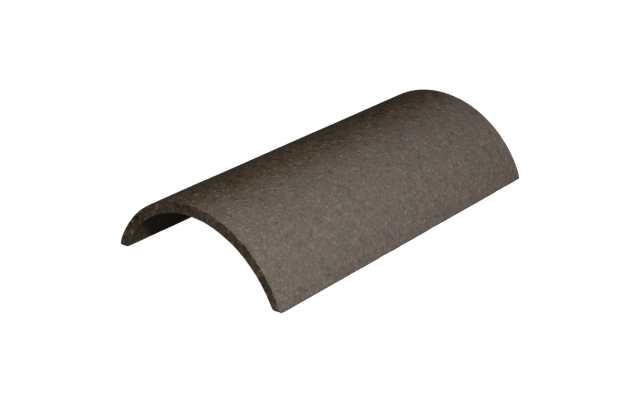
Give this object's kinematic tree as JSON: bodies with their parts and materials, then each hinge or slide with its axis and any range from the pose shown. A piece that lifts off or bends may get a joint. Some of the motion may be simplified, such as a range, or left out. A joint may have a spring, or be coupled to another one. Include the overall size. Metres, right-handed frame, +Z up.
{
  "type": "half round ridge tile",
  "caption": "Half round concrete ridge tile: a straight arched wall with two level feet and square cut ends, laid over the top of a pitched roof.",
  "frame": {"origin": "on the ground under the middle of the tile, halfway between its feet and its ends", "axes": "+Y along the ridge, +X across it, +Z up through the crown"},
  "size_m": [0.2486, 0.457, 0.0879],
  "materials": {
    "brown_concrete": "matt through-coloured brown concrete with a fine granular face"
  },
  "bodies": {
    "root": {"ridge_tile": "brown_concrete"}
  },
  "joints": []
}
